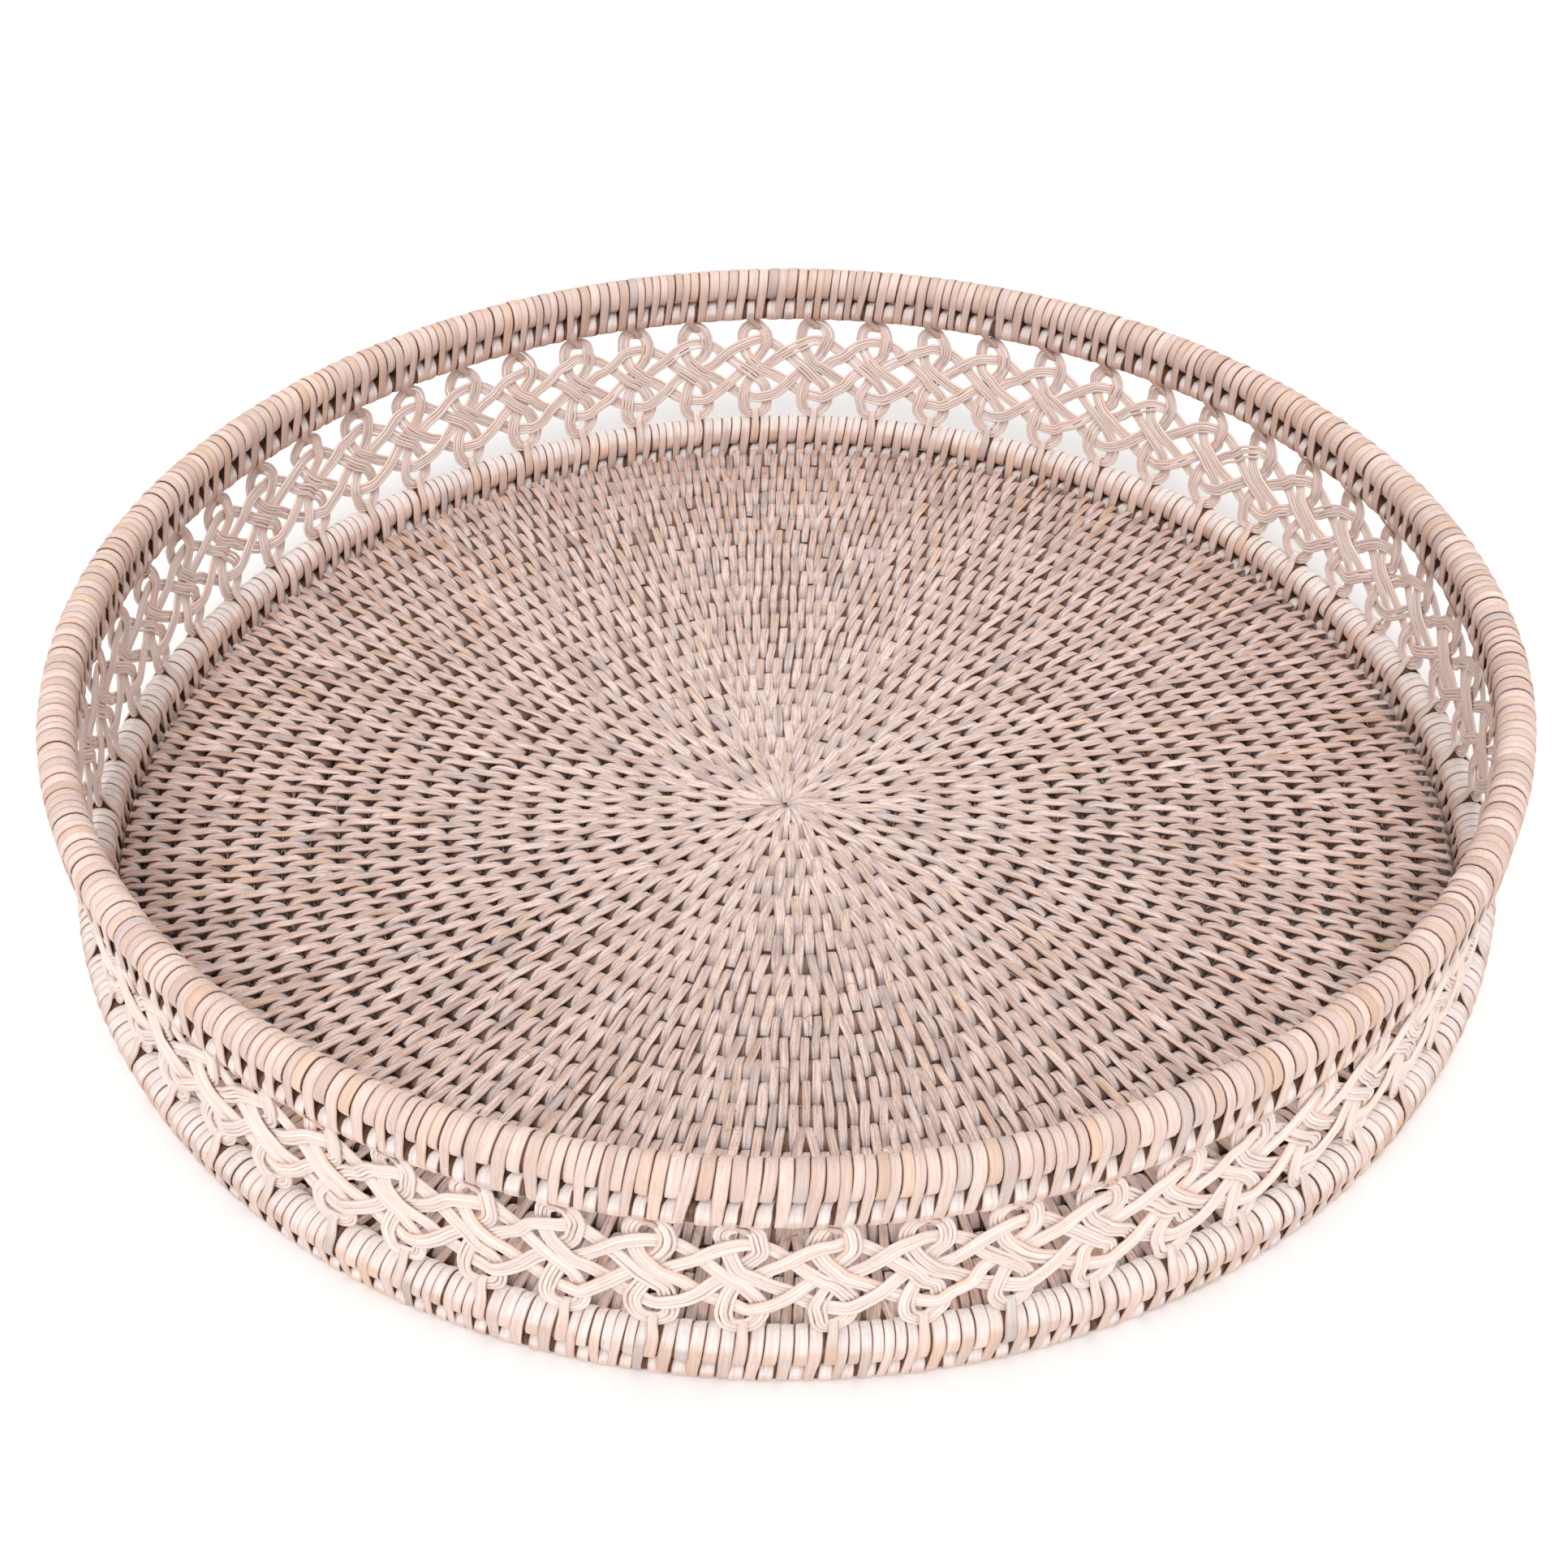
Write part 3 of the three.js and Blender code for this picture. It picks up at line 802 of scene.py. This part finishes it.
# ---------------------------------------------------------------- stage, light and camera
def stage():
    me = bpy.data.meshes.new("floor_plane")
    s = 6.0
    me.from_pydata([(-s, -s, 0), (s, -s, 0), (s, s, 0), (-s, s, 0)], [], [(0, 1, 2, 3)])
    n = Nodes("stage_white")
    b = n.add("ShaderNodeBsdfPrincipled")
    b.inputs["Base Color"].default_value = (0.99, 0.99, 0.99, 1)
    b.inputs["Roughness"].default_value = 0.9
    b.inputs["Specular IOR Level"].default_value = 0.1
    o = n.add("ShaderNodeOutputMaterial")
    n.link(b.outputs[0], o.inputs[0])
    me.materials.append(n.mat)
    ob = bpy.data.objects.new("stage_floor", me)
    bpy.context.scene.collection.objects.link(ob)
    ob.location.z = -0.0004


stage()


def sun(name, azimuth, elevation, strength, spread, color):
    """A broad soft source so far off that the whole tray is lit alike."""
    li = bpy.data.lights.new(name, "SUN")
    li.energy = strength
    li.angle = math.radians(spread)
    li.color = color
    ob = bpy.data.objects.new(name, li)
    a, e = math.radians(azimuth), math.radians(elevation)
    d = Vector((math.cos(a) * math.cos(e), math.sin(a) * math.cos(e), math.sin(e)))
    ob.location = d * 2
    ob.rotation_euler = d.to_track_quat("Z", "Y").to_euler()
    bpy.context.scene.collection.objects.link(ob)


sun("key_front", 264, 54, 1.62, 24, (1.0, 0.995, 0.995))
sun("fill_above", 90, 75, 0.65, 60, (1.0, 0.98, 0.965))

world = bpy.data.worlds.new("studio")
bpy.context.scene.world = world
world.use_nodes = True
world.node_tree.nodes["Background"].inputs[0].default_value = (1.0, 1.0, 1.0, 1)
world.node_tree.nodes["Background"].inputs[1].default_value = 0.60

cam = bpy.data.cameras.new("camera")
cam.lens = 56.02
cam.sensor_width = 36
cam.clip_start = 0.01
cam_ob = bpy.data.objects.new("camera", cam)
bpy.context.scene.collection.objects.link(cam_ob)
eye = Vector((-0.000713, -0.57726, 0.50440))
aim = Vector((-0.000713, 0.018758, 0.0))
turn = (aim - eye).to_track_quat("-Z", "Y").to_matrix() @ Matrix.Rotation(-0.003, 3, "Z")
cam_ob.matrix_world = Matrix.Translation(eye) @ turn.to_4x4()
bpy.context.scene.camera = cam_ob

bpy.context.scene.view_settings.view_transform = "Standard"
bpy.context.scene.view_settings.look = "None"
